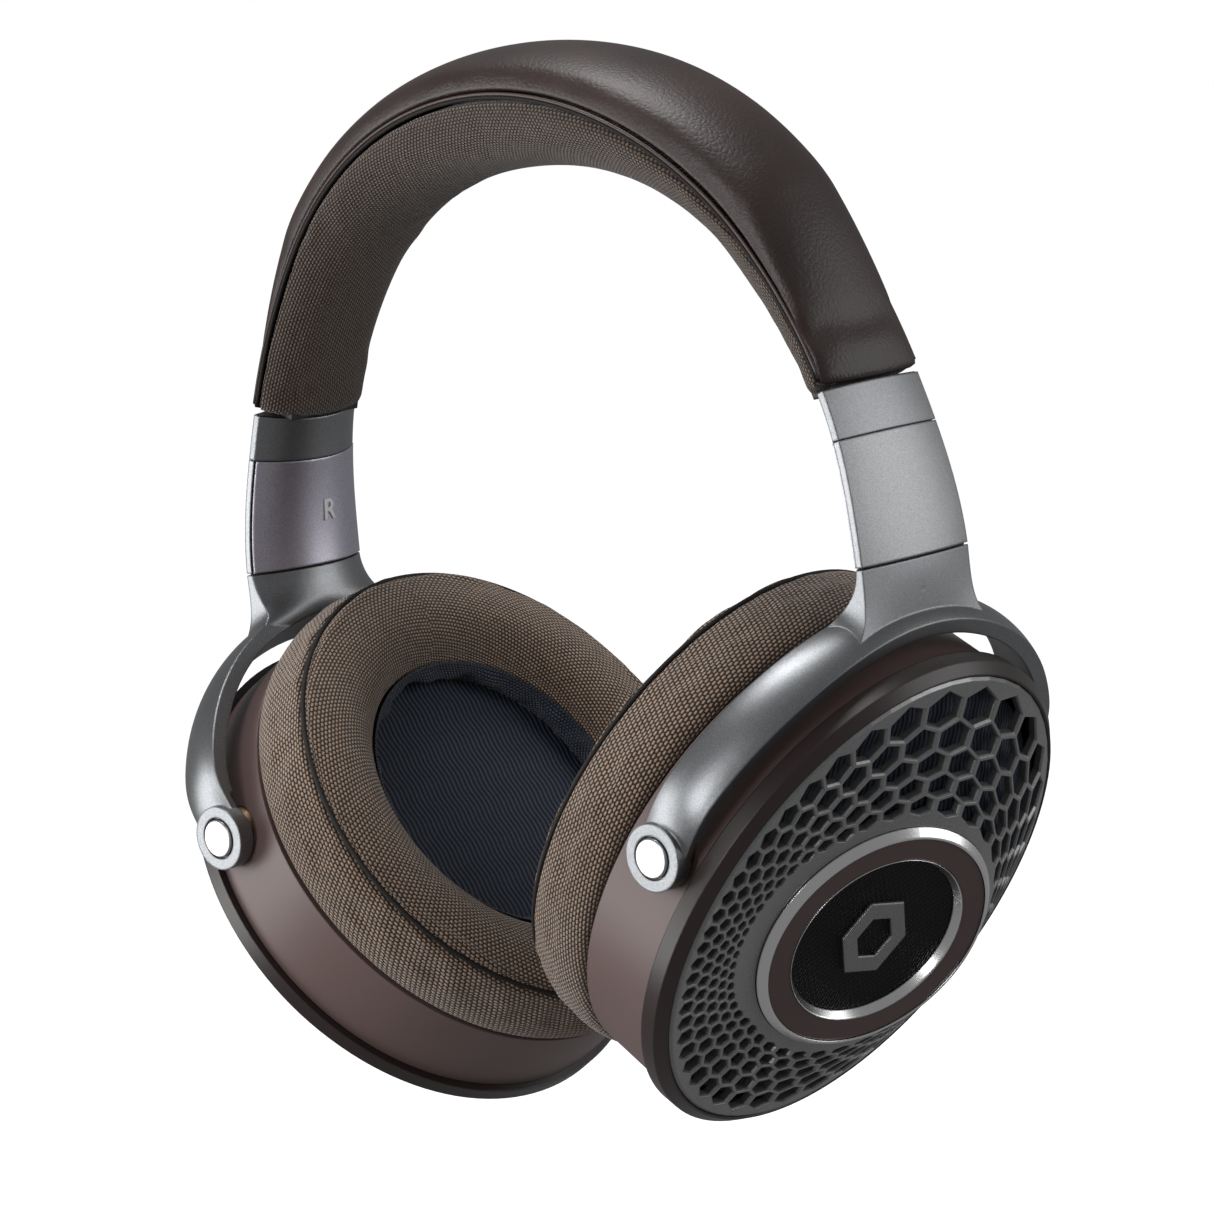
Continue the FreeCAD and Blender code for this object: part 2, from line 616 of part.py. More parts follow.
for side, word in ((1, "left_"), (-1, "right_")):
    place = cup_place(side)
    eye_place = place.multiply(eye_local(side))
    wall = "housing_wall"
    turned(word + "cup_housing", [
        ("flange_r", "0 - housing_back"), ("housing_r", "0 - housing_back"),
        ("rim_r - 1.4", "rim_low - gap"), ("rim_r - 1.4 - " + wall, "rim_low - gap"),
        ("housing_r - " + wall, "0 - housing_back + " + wall),
        ("flange_r", "0 - housing_back + " + wall)], place, housing_holes)
    turned(word + "trim_ring", [
        ("rim_r - 4.5", "rim_low"), ("rim_r", "rim_low"), ("rim_r", "rim_high"),
        ("grille_r + gap + 0.4", "grille_edge"), ("grille_r + gap", "grille_edge - 0.3"),
        ("grille_r + gap", "grille_edge - grille_rim - gap"),
        ("rim_r - 4.5", "grille_edge - grille_rim - gap")], place)
    shaped(word + "grille", make_grille(side), place)
    shaped(word + "grille_cloth", make_cloth(side), place)
    turned(word + "eye_bezel", [
        ("14", "0 - 3.6"), ("bezel_r", "0 - 3.6"), ("bezel_r", "0 - 0.9"),
        ("bezel_r - 1.2", "0.3"), ("badge_r + gap", "0.3"), ("badge_r + gap", "0 - 1.2"),
        ("badge_in_r - gap", "0 - 1.2"), ("badge_in_r - gap", "0.2"),
        ("mesh_r + gap", "0 - 1.4"), ("mesh_r + gap", "0 - 2.7"), ("14", "0 - 2.7")], eye_place)
    turned(word + "badge_ring", [
        ("badge_in_r", "0 - 1.1"), ("badge_r", "0 - 1.1"), ("badge_r", "0"),
        ("badge_in_r", "0")], eye_place)
    turned(word + "eye_mesh", [
        ("0", "0 - 2.6"), ("mesh_r", "0 - 2.6"), ("mesh_r", "0 - 1.7"), ("0", "0 - 1.4")],
        eye_place)
    turned(word + "baffle", [
        ("driver_r + gap", "0 - housing_back - gap - baffle_thick"),
        ("baffle_r", "0 - housing_back - gap - baffle_thick"),
        ("baffle_r", "0 - housing_back - gap"),
        ("driver_r + gap", "0 - housing_back - gap")], place, baffle_holes)
    turned(word + "driver_frame", [
        ("driver_r - 1.6", "0 - driver_back"), ("driver_r + 2", "0 - driver_back"),
        ("driver_r + 2", "0 - driver_back + 1.2"), ("driver_r", "0 - driver_back + 1.2"),
        ("driver_r", "0 - housing_back + 2"), ("magnet_r + gap + 1.2", "0 - magnet_high - 1"),
        ("magnet_r + gap", "0 - magnet_high - 1"), ("magnet_r + gap", "0 - magnet_high - 3"),
        ("driver_r - 1.6", "0 - housing_back + 1")], place)
    turned(word + "driver_magnet", [
        ("0", "0 - housing_back + 1"), ("magnet_r", "0 - housing_back + 1"),
        ("magnet_r", "0 - magnet_high"), ("0", "0 - magnet_high")], place)
    turned(word + "driver_diaphragm", [
        ("0", "0 - driver_back + 2.4"), ("driver_r - 1.8", "0 - driver_back + 1"),
        ("driver_r - 1.8", "0 - driver_back + 1.4"), ("0", "0 - driver_back + 2.9")], place)
    low = "0 - housing_back - baffle_thick - 1.2 - "
    turned(word + "pad_ring", [
        ("ring_in_r", low + "ring_thick"), ("ring_r - 1.6", low + "ring_thick"),
        ("ring_r - 1.6", low + "0"), ("ring_in_r", low + "0")], place)
    turned(word + "baffle_cloth", [
        ("0", "0 - driver_back - 1.4"), ("pad_hole_r - 0.4", "0 - driver_back - 1.4"),
        ("pad_hole_r - 0.4", "0 - driver_back - 0.6"), ("0", "0 - driver_back - 0.6")], place)
    base = low + "ring_thick - soft_gap"
    turned(word + "ear_pad", [
        ("baffle_r + 1.2", "0 - pad_top"), ("pad_r - 0.1", "0 - pad_top"),
        ("pad_r + 1.4", "0 - pad_top - 1.2"), ("pad_r + 1.9", "0 - pad_top - 4"),
        ("pad_r + 1.7", "0 - pad_top - 7.5"), ("pad_r + 1.1", "0 - pad_top - 11"),
        ("pad_r", "0 - pad_seam"), ("pad_r - 3", "0 - pad_seam - 2"),
        ("pad_crown_r + 1.5", "0 - pad_crown + 0.2"), ("pad_crown_r", "0 - pad_crown"),
        ("pad_crown_r - 3.4", "0 - pad_crown + 0.4"), ("pad_hole_r + 3", "0 - pad_crown + 2.2"),
        ("pad_hole_r + 0.6", "0 - pad_crown + 4.6"), ("pad_hole_r", "0 - pad_crown + 8"),
        ("pad_hole_r", base), ("baffle_r + 1.2", base)], place)
    if side > 0:
        shaped("left_jack_socket", make_jack(), place)
    shaped(word + "baffle_screws", make_screws(), place)
    shaped(word + "pivot_bushes", make_bushes(), place)

# Headband
# Spring: a part turn of a thin rectangle about the arch's own axis.
spring = new_body("headband_spring")
spring_sketch = new_sketch(spring, "XZ_Plane", "spring_profile")
outline(spring_sketch, [
    ("top_radius - spring_deep", "0 - spring_half"), ("top_radius - spring_deep + spring_thick",
     "0 - spring_half"), ("top_radius - spring_deep + spring_thick", "spring_half"),
    ("top_radius - spring_deep", "spring_half")])
spring_turn = spring.newObject("PartDesign::Revolution", "spring_turn")
spring_turn.Profile = spring_sketch
spring_turn.ReferenceAxis = (spring_sketch, ["V_Axis"])
spring_turn.Angle = 2 * size("spring_deg")
spring_turn.Midplane = True
doc.recompute()
stand = FreeCAD.Rotation(FreeCAD.Vector(0, 0, 1), FreeCAD.Vector(1, 0, 0), across_y, "XZY")
spring.Placement = FreeCAD.Placement(FreeCAD.Vector(0, 0, top_z), stand)


# Leather height, pad depth and half width along the arch.
def band_sizes(angle_deg):
    share = smooth((abs(angle_deg) - 14.0) / (size("cap_top_deg") - 14.0))
    half = blend(size("apex_half"), size("cap_half"), share)
    late = smooth((abs(angle_deg) - 46.0) / (size("cap_top_deg") - 46.0))
    leather = blend(size("leather_apex"), size("leather_end"), late)
    deep = blend(size("seam_rise"), size("pad_end"), smooth(abs(angle_deg) / size("cap_top_deg")))
    return half, leather, deep


# A soft section is a half round: flat along the seam, bowed on the other side.
def soft_section(angle_deg, height, base):
    half = band_sizes(angle_deg)[0]
    point, outward = seam(angle_deg)
    spots = []
    for turn_deg in range(0, 181, 15):
        turn = math.radians(turn_deg)
        away = abs(math.sin(turn)) ** 0.8
        side = math.cos(turn)
        spots.append(point + outward * (base + (height - base) * away) + across_y * (half * side))
    curve = Part.BSplineCurve()
    curve.interpolate(spots)
    flat = Part.LineSegment(spots[-1], spots[0]).toShape()
    return Part.Wire([curve.toShape(), flat])


limit = size("cap_top_deg") - 0.25
stations = span(-limit, limit, 19)
leather = loft([soft_section(a, band_sizes(a)[1], size("gap")) for a in stations])
pad = loft([soft_section(a, -band_sizes(a)[2], -size("gap")) for a in stations])


# Groove in the pad's top for the spring, and the room for each guide.
def groove_section(angle_deg):
    point, outward = seam(angle_deg)
    half = size("spring_half") + size("soft_gap")
    low = -size("spring_deep") - size("soft_gap")
    spots = [point + outward * h + across_y * (half * s)
             for h, s in ((2.0, -1), (2.0, 1), (low, 1), (low, -1), (2.0, -1))]
    return Part.makePolygon(spots)


groove_limit = size("spring_deg") + 0.6
groove = loft([groove_section(a) for a in span(-groove_limit, groove_limit, 15)])
room = bar(guide_half + size("soft_gap"), -guide_deep - size("soft_gap"),
           guide_deep + size("soft_gap"), 0.0, size("guide_up") + 0.5)
other_room = room.copy()
other_room.rotate(FreeCAD.Vector(0, 0, 0), FreeCAD.Vector(0, 0, 1), 180)
shaped("headband_leather", leather.cut(room).cut(other_room))
shaped("headband_pad", pad.cut(groove).cut(room).cut(other_room))

# Check and write every piece
doc.recompute()
for item in doc.Objects:
    if "Invalid" in item.State or "Error" in item.State:
        raise RuntimeError(item.Name + " is in a bad state")
for item in nodes:
    shape = item.Shape
    if shape.isNull() or not shape.isValid() or not shape.Solids:
        raise RuntimeError(item.Label + " has no valid solid")
    shape.exportStep("parts/" + item.Label + ".step")
    print(item.Label, len(shape.Solids), round(shape.Volume, 1))
print("wrote", len(nodes), "parts")
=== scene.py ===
import math

import bpy
import numpy as np
from mathutils import Matrix, Vector


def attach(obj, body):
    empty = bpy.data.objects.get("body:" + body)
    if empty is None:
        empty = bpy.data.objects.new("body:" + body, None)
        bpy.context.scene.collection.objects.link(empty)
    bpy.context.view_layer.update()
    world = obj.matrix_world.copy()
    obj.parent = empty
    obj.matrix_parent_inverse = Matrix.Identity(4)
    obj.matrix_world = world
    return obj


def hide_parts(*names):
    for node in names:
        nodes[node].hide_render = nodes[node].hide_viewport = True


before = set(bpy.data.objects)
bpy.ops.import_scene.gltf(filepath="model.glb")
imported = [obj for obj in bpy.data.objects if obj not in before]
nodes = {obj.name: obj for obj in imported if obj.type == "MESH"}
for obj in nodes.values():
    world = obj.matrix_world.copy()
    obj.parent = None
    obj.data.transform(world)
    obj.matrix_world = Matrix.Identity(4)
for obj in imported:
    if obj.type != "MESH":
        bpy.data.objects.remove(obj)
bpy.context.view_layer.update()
mm = 0.001


# Shader helpers.

def newMaterial(name, base, roughness, metallic=0.0):
    mat = bpy.data.materials.new(name)
    mat.use_nodes = True
    shader = mat.node_tree.nodes["Principled BSDF"]
    shader.inputs["Base Color"].default_value = (*base, 1.0)
    shader.inputs["Roughness"].default_value = roughness
    shader.inputs["Metallic"].default_value = metallic
    return mat, mat.node_tree, shader


def addNode(tree, kind, values=None, **settings):
    node = tree.nodes.new(kind)
    for key, val in settings.items():
        setattr(node, key, val)
    for key, val in (values or {}).items():
        node.inputs[key].default_value = val
    return node


def link(tree, source, target):
    tree.links.new(source, target)


# Object or UV coordinates, scaled and turned for one piece.
def coords(tree, scale=(1, 1, 1), turn=(0, 0, 0), useUv=False):
    source = addNode(tree, "ShaderNodeTexCoord")
    mapping = addNode(tree, "ShaderNodeMapping")
    mapping.inputs["Scale"].default_value = scale
    mapping.inputs["Rotation"].default_value = turn
    link(tree, source.outputs["UV" if useUv else "Object"], mapping.inputs["Vector"])
    return mapping.outputs["Vector"]


def mathNode(tree, operation, first, second=None, clamp=False):
    node = addNode(tree, "ShaderNodeMath", operation=operation, use_clamp=clamp)
    for index, item in enumerate((first, second)):
        if item is None:
            continue
        if isinstance(item, (int, float)):
            node.inputs[index].default_value = item
        else:
            link(tree, item, node.inputs[index])
    return node.outputs[0]


# A value times a factor, plus an offset.
def scaled(tree, value, factor, offset):
    return mathNode(tree, "ADD", mathNode(tree, "MULTIPLY", value, factor), offset)


def noise(tree, vector, scale, detail=2.0, rough=0.5):
    node = addNode(tree, "ShaderNodeTexNoise", {"Scale": scale, "Detail": detail, "Roughness": rough})
    link(tree, vector, node.inputs["Vector"])
    return node.outputs["Fac"]


def ramp(tree, value, stops):
    node = addNode(tree, "ShaderNodeValToRGB")
    bar = node.color_ramp
    while len(bar.elements) < len(stops):
        bar.elements.new(0.5)
    for element, (place, colour) in zip(bar.elements, stops):
        element.position = place
        element.color = (*colour, 1.0)
    link(tree, value, node.inputs["Fac"])
    return node.outputs["Color"]


def bump(tree, height, strength, distance, normal=None):
    node = addNode(tree, "ShaderNodeBump", {"Strength": strength, "Distance": distance})
    link(tree, height, node.inputs["Height"])
    if normal is not None:
        link(tree, normal, node.inputs["Normal"])
    return node.outputs["Normal"]


def softEdge(tree, radius):
    return addNode(tree, "ShaderNodeBevel", {"Radius": radius}, samples=6).outputs["Normal"]


# Two-tone woven mesh: offset rows of pale threads over a dark ground.
# Reads a flat vector measured in threads, gives colour mask and height.
def buildWeaveGroup():
    group = bpy.data.node_groups.new("wovenMesh", "ShaderNodeTree")
    group.interface.new_socket("Vector", in_out="INPUT", socket_type="NodeSocketVector")
    group.interface.new_socket("Mask", in_out="OUTPUT", socket_type="NodeSocketFloat")
    group.interface.new_socket("Height", in_out="OUTPUT", socket_type="NodeSocketFloat")
    start = group.nodes.new("NodeGroupInput")
    end = group.nodes.new("NodeGroupOutput")
    split = addNode(group, "ShaderNodeSeparateXYZ")
    link(group, start.outputs["Vector"], split.inputs[0])
    across, along = split.outputs["X"], split.outputs["Y"]
    row = mathNode(group, "FLOOR", along)
    odd = mathNode(group, "MODULO", mathNode(group, "ABSOLUTE", row), 2.0)
    shifted = mathNode(group, "ADD", across, mathNode(group, "MULTIPLY", odd, 0.5))
    # height is one less a power of the distance from the thread's middle, each way
    inX = mathNode(group, "SUBTRACT", mathNode(group, "FRACT", shifted), 0.5)
    inY = mathNode(group, "SUBTRACT", mathNode(group, "FRACT", along), 0.5)
    distX = mathNode(group, "POWER", mathNode(group, "ABSOLUTE", mathNode(group, "MULTIPLY", inX, 2.1)), 2.4)
    distY = mathNode(group, "POWER", mathNode(group, "ABSOLUTE", mathNode(group, "MULTIPLY", inY, 2.1)), 2.0)
    height = mathNode(group, "SUBTRACT", 1.0, mathNode(group, "ADD", distX, distY), clamp=True)
    wobble = noise(group, start.outputs["Vector"], 0.35, 2.0)
    grain = noise(group, start.outputs["Vector"], 3.1, 1.0)
    level = mathNode(group, "MULTIPLY", height, scaled(group, wobble, 0.9, 0.35))
    mask = mathNode(group, "MULTIPLY", level, scaled(group, grain, 0.8, 0.6), clamp=True)
    link(group, mask, end.inputs["Mask"])
    link(group, height, end.inputs["Height"])
    return group


weaveGroup = buildWeaveGroup()


def fabricMaterial(name, dark, pale, pitch, turnDeg, sheen=0.35, rough=0.85):
    mat, tree, shader = newMaterial(name, dark, rough)
    vector = coords(tree, (1 / pitch[0], 1 / pitch[1], 1), (0, 0, math.radians(turnDeg)), useUv=True)
    group = addNode(tree, "ShaderNodeGroup", node_tree=weaveGroup)
    link(tree, vector, group.inputs["Vector"])
    colour = ramp(tree, group.outputs["Mask"], [(0.16, dark), (0.6, pale)])
    link(tree, colour, shader.inputs["Base Color"])
    link(tree, bump(tree, group.outputs["Height"], 0.85, 0.00035), shader.inputs["Normal"])
    shader.inputs["Sheen Weight"].default_value = sheen
    shader.inputs["Sheen Roughness"].default_value = 0.5
    shader.inputs["Specular IOR Level"].default_value = 0.3
    return mat


def leatherMaterial():
    mat, tree, shader = newMaterial("brownLeather", (0.018, 0.0105, 0.0095), 0.44)
    vector = coords(tree)
    cells = addNode(tree, "ShaderNodeTexVoronoi", {"Scale": 900.0, "Randomness": 1.0},
                    feature="DISTANCE_TO_EDGE")
    warp = addNode(tree, "ShaderNodeTexNoise", {"Scale": 160.0, "Detail": 2.0})
    link(tree, vector, warp.inputs["Vector"])
    mixed = addNode(tree, "ShaderNodeVectorMath", operation="MULTIPLY_ADD")
    link(tree, warp.outputs["Color"], mixed.inputs[0])
    mixed.inputs[1].default_value = (0.003, 0.003, 0.003)
    link(tree, vector, mixed.inputs[2])
    link(tree, mixed.outputs[0], cells.inputs["Vector"])
    creases = mathNode(tree, "MINIMUM", mathNode(tree, "MULTIPLY", cells.outputs["Distance"], 3.2), 1.0)
    pores = noise(tree, vector, 2600.0, 2.0)
    height = mathNode(tree, "ADD", creases, mathNode(tree, "MULTIPLY", pores, 0.35))
    broad = noise(tree, vector, 45.0, 3.0)
    colour = ramp(tree, broad, [(0.3, (0.018, 0.0085, 0.0075)), (0.75, (0.034, 0.0165, 0.014))])
    link(tree, colour, shader.inputs["Base Color"])
    link(tree, scaled(tree, broad, 0.12, 0.4), shader.inputs["Roughness"])
    link(tree, bump(tree, height, 0.2, 0.00015), shader.inputs["Normal"])
    shader.inputs["Specular IOR Level"].default_value = 0.55
    return mat


# Bead-blasted metal: each grain a little darker or paler than the base.
def metalMaterial(name, base, rough, speckle=0.12, edge=0.0005, metallic=1.0, spread=0.22):
    mat, tree, shader = newMaterial(name, base, rough, metallic)
    vector = coords(tree)
    fine = noise(tree, vector, 5200.0, 2.0)
    broad = noise(tree, vector, 30.0, 3.0)
    dark = tuple(c * (1 - spread) for c in base)
    pale = tuple(min(c * (1 + spread), 1.0) for c in base)
    link(tree, ramp(tree, fine, [(0.32, dark), (0.68, pale)]), shader.inputs["Base Color"])
    link(tree, scaled(tree, broad, 0.08, rough - 0.04), shader.inputs["Roughness"])
    link(tree, bump(tree, fine, speckle, 0.00006, softEdge(tree, edge)), shader.inputs["Normal"])
    return mat


def paintMaterial(name, base, rough, edge=0.0004, spread=0.07):
    mat, tree, shader = newMaterial(name, base, rough)
    vector = coords(tree)
    fine = noise(tree, vector, 3800.0, 2.0)
    broad = noise(tree, vector, 24.0, 2.0)
    dark = tuple(c * (1 - spread) for c in base)
    pale = tuple(c * (1 + spread) for c in base)
    link(tree, ramp(tree, broad, [(0.35, dark), (0.65, pale)]), shader.inputs["Base Color"])
    link(tree, bump(tree, fine, 0.08, 0.00004, softEdge(tree, edge)), shader.inputs["Normal"])
    link(tree, scaled(tree, broad, 0.1, rough - 0.05), shader.inputs["Roughness"])
    return mat


# Polished metal of a given tone: faint unevenness in its roughness and surface.
def polishedMaterial(name, rough, tone):
    mat, tree, shader = newMaterial(name, (tone, tone, tone * 1.01), rough, 1.0)
    vector = coords(tree)
    broad = noise(tree, vector, 90.0, 3.0)
    fine = noise(tree, vector, 2400.0, 1.0)
    link(tree, scaled(tree, broad, 0.1, rough - 0.05), shader.inputs["Roughness"])
    link(tree, bump(tree, fine, 0.05, 0.00003, softEdge(tree, 0.0003)), shader.inputs["Normal"])
    return mat


# Dark cloth whose ribs run in small waves, laid out in the plane of a cup.
def clothMaterial(name, dark, pale, tiltDeg, pitch, waves):
    mat, tree, shader = newMaterial(name, dark, 0.6)
    vector = coords(tree, (1, 1, 1), (0, math.radians(tiltDeg), 0))
    split = addNode(tree, "ShaderNodeSeparateXYZ")
    link(tree, vector, split.inputs[0])
    # rib height is a sine of the distance across, pushed aside by a slower sine along
    sway = mathNode(tree, "SINE", mathNode(tree, "MULTIPLY", split.outputs["X"], 2 * math.pi / (pitch * 2.6)))
    push = mathNode(tree, "MULTIPLY", sway, waves)
    phase = scaled(tree, split.outputs["Y"], 2 * math.pi / pitch, push)
    rib = scaled(tree, mathNode(tree, "SINE", phase), 0.5, 0.5)
    fine = noise(tree, vector, 4200.0, 1.0)
    level = mathNode(tree, "MULTIPLY", rib, scaled(tree, fine, 0.8, 0.4))
    link(tree, ramp(tree, level, [(0.2, dark), (0.85, pale)]), shader.inputs["Base Color"])
    link(tree, bump(tree, rib, 0.6, 0.0003), shader.inputs["Normal"])
    shader.inputs["Sheen Weight"].default_value = 0.06
    shader.inputs["Specular IOR Level"].default_value = 0.25
    return mat


# Fine black mesh, with its threads turned a little from upright.
def meshMaterial(name, tiltDeg, pitch=0.00062, turnDeg=20):
    mat, tree, shader = newMaterial(name, (0.01, 0.01, 0.011), 0.45)
    vector = coords(tree, (1 / pitch, 1 / pitch, 1 / pitch), (0, math.radians(tiltDeg), math.radians(turnDeg)))
    group = addNode(tree, "ShaderNodeGroup", node_tree=weaveGroup)
    link(tree, vector, group.inputs["Vector"])
    stops = [(0.1, (0.0008, 0.0008, 0.001)), (0.8, (0.007, 0.007, 0.008))]
    colour = ramp(tree, group.outputs["Mask"], stops)
    link(tree, colour, shader.inputs["Base Color"])
    link(tree, bump(tree, group.outputs["Height"], 0.7, 0.0003), shader.inputs["Normal"])
    shader.inputs["Specular IOR Level"].default_value = 0.2
    return mat


# the cups lean so that their faces look down by this many degrees
cupTilt = 32.8
materials = {
    "leather": leatherMaterial(),
    "bandFabric": fabricMaterial(
        "bandFabric", (0.007, 0.0044, 0.0034), (0.165, 0.103, 0.068), (0.00088, 0.00058), 0),
    "padFabric": fabricMaterial(
        "padFabric", (0.010, 0.0058, 0.0043), (0.40, 0.262, 0.172), (0.00096, 0.00064), 12),
    "lining": fabricMaterial(
        "liningCloth", (0.002, 0.003, 0.007), (0.05, 0.066, 0.11), (0.0008, 0.0008), 0,
        sheen=0.15, rough=0.42),
    "satin": metalMaterial("satinMetal", (0.245, 0.252, 0.262), 0.38, 0.2),
    "shell": metalMaterial("shellMetal", (0.262, 0.268, 0.275), 0.36, 0.2),
    "violet": metalMaterial("violetMetal", (0.52, 0.50, 0.58), 0.36, 0.05),
    "grille": metalMaterial("grilleMetal", (0.27, 0.272, 0.278), 0.32, 0.08, 0.0002, 0.65),
    "polished": polishedMaterial("polishedMetal", 0.24, 0.82),
    "pin": polishedMaterial("pinMetal", 0.3, 0.5),
    "taupe": paintMaterial("taupePaint", (0.135, 0.090, 0.084), 0.42),
    "brown": paintMaterial("brownPaint", (0.024, 0.014, 0.0135), 0.34),
    "badge": paintMaterial("badgePaint", (0.085, 0.052, 0.050), 0.32),
    # black plastic for the hidden parts, also used for the dark strips of painted shade in the seams
    "black": paintMaterial("blackPlasticAndSeamShade", (0.012, 0.012, 0.013), 0.5),
    "steel": metalMaterial("drawnSteel", (0.5, 0.5, 0.5), 0.3),
    "bronze": metalMaterial("bronzeMetal", (0.45, 0.32, 0.18), 0.35),
    "gold": metalMaterial("goldMetal", (0.75, 0.58, 0.3), 0.25),
    "letter": paintMaterial("letterPaint", (0.9, 0.9, 0.92), 0.45),
    "emblem": metalMaterial("emblemMetal", (0.30, 0.30, 0.30), 0.42, 0.05),
    "thread": paintMaterial("seamThread", (0.010, 0.0065, 0.0055), 0.75),
    "piping": paintMaterial("pipingLeather", (0.05, 0.031, 0.027), 0.36),
}
for side, sign in (("left", 1), ("right", -1)):
    layTurn = sign * -(90 - cupTilt)
    materials[side + "Navy"] = clothMaterial(
        side + "NavyCloth", (0.003, 0.004, 0.009), (0.05, 0.066, 0.108), layTurn, 0.0011, 1.1)
    materials[side + "Mesh"] = meshMaterial(side + "BlackMesh", layTurn)


# Mesh helpers.

# A quad grid from an array of points, rows by columns, with a matching UV array.
def gridMesh(name, points, uv=None, wrapRows=False, wrapCols=False, capEnds=False):
    rows, cols = points.shape[:2]
    verts = points.reshape(-1, 3).tolist()
    faces, loopsUv = [], []
    rowEnd = rows if wrapRows else rows - 1
    colEnd = cols if wrapCols else cols - 1
    for i in range(rowEnd):
        for j in range(colEnd):
            a, b = (i, j), (i, j + 1)
            c, d = (i + 1, j + 1), (i + 1, j)
            faces.append([(r % rows) * cols + (k % cols) for r, k in (a, b, c, d)])
            if uv is not None:
                loopsUv += [uv[r, k] for r, k in (a, b, c, d)]
    if capEnds:
        for row, back in ((0, True), (rows - 1, False)):
            ring = [row * cols + j for j in range(cols)]
            faces.append(ring[::-1] if back else ring)
            if uv is not None:
                loopsUv += [uv[row, j] for j in (range(cols - 1, -1, -1) if back else range(cols))]
    mesh = bpy.data.meshes.new(name)
    mesh.from_pydata(verts, [], faces)
    mesh.polygons.foreach_set("use_smooth", [True] * len(mesh.polygons))
    if uv is not None:
        layer = mesh.uv_layers.new(name="surface")
        layer.data.foreach_set("uv", np.array(loopsUv, float).reshape(-1))
    mesh.update()
    return mesh


def addPiece(name, mesh, material, body, instead=()):
    piece = bpy.data.objects.new(name, mesh)
    bpy.context.scene.collection.objects.link(piece)
    piece.data.materials.append(materials[material])
    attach(piece, body)
    if instead:
        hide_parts(*instead)
    return piece


def flipIfInside(mesh):
    volume = 0.0
    for poly in mesh.polygons:
        volume += poly.center.dot(poly.normal) * poly.area
    if volume < 0:
        mesh.flip_normals()
    mesh.update()


def smoothStep(share):
    share = np.clip(share, 0.0, 1.0)
    return share * share * (3.0 - 2.0 * share)


# How a cover is puffed: cloth held along its seams, blown out a little, then capped.
puffing = {"frames": 20, "pressure": 4.0, "quality": 5, "mass": 0.2, "stretch": 12, "shear": 4,
           "bend": 0.15, "smoothing": 1}


def puff(piece, held, slack, cap):
    finish = piece.modifiers.new("smooth", "SUBSURF")
    finish.levels = puffing["smoothing"]
    finish.render_levels = puffing["smoothing"]
    finish.show_viewport = False
    mesh = piece.data
    start = np.empty(len(mesh.vertices) * 3)
    mesh.vertices.foreach_get("co", start)
    start = start.reshape(-1, 3)
    group = piece.vertex_groups.new(name="held")
    group.add([int(i) for i in held], 1.0, "REPLACE")
    cloth = piece.modifiers.new("cloth", "CLOTH")
    settings = cloth.settings
    settings.quality = puffing["quality"]
    settings.mass = puffing["mass"]
    settings.tension_stiffness = puffing["stretch"]
    settings.compression_stiffness = puffing["stretch"]
    settings.shear_stiffness = puffing["shear"]
    settings.bending_stiffness = puffing["bend"]
    settings.shrink_min = -slack
    settings.use_pressure = True
    settings.uniform_pressure_force = puffing["pressure"]
    settings.vertex_group_mass = "held"
    settings.effector_weights.gravity = 0
    cloth.point_cache.frame_start = 1
    cloth.point_cache.frame_end = puffing["frames"]
    scene = bpy.context.scene
    for frameNumber in range(1, puffing["frames"] + 1):
        scene.frame_set(frameNumber)
    seen = piece.evaluated_get(bpy.context.evaluated_depsgraph_get())
    ended = np.empty(len(mesh.vertices) * 3)
    seen.data.vertices.foreach_get("co", ended)
    moved = ended.reshape(-1, 3) - start
    # no point moves further than the cap, whatever the cloth did
    length = np.linalg.norm(moved, axis=1)[:, None]
    moved *= np.minimum(1.0, cap / np.maximum(length, 1e-9))
    piece.modifiers.remove(cloth)
    piece.vertex_groups.remove(group)
    mesh.vertices.foreach_set("co", (start + moved).reshape(-1))
    mesh.update()
    finish.show_viewport = True
    scene.frame_set(1)
    meanMove = float(np.linalg.norm(moved, axis=1).mean()) / mm
    print(piece.name, "puffed, mean move mm", round(meanMove, 3))


# Headband. Sizes are in millimetres, and angles in degrees from the top of the arch.
band = {
    "topRadius": 68.56, "sideRadius": 100.0, "joinDeg": 52.15, "seamRise": 14.0,
    "endDeg": 70.3, "apexHalf": 15.8, "endHalf": 12.65, "leatherApex": 8.0,
    "leatherEnd": 2.0, "padEnd": 7.4, "roundness": 0.8, "narrowFrom": 14.0, "thinFrom": 46.0,
    "parting": 0.1, "tuckLimit": 1.0, "tuckDeep": 3.0, "heldRows": 3,
}
# Soft folds near each end: height, distance from the end, and half length along the band.
folds = {"crease": (0.55, 10.0, 2.4), "bulge": (0.5, 5.0, 3.0),
         "leatherTuck": (0.6, 0.0, 0.9), "padTuck": (0.35, 0.0, 0.9)}


# Seam line of the arch: a top arc that runs on into wider side arcs.
def seamPoint(angleDeg):
    angle = np.radians(abs(angleDeg))
    join = math.radians(band["joinDeg"])
    reach = band["sideRadius"] - band["topRadius"]
    topZ = band["seamRise"] - band["topRadius"]
    if angle <= join:
        x = band["topRadius"] * math.sin(angle)
        z = topZ + band["topRadius"] * math.cos(angle)
    else:
        x = -reach * math.sin(join) + band["sideRadius"] * math.sin(angle)
        z = topZ - reach * math.cos(join) + band["sideRadius"] * math.cos(angle)
    sign = 1.0 if angleDeg >= 0 else -1.0
    point = np.array([sign * x, 0.0, z])
    out = np.array([sign * math.sin(angle), 0.0, math.cos(angle)])
    return point, out


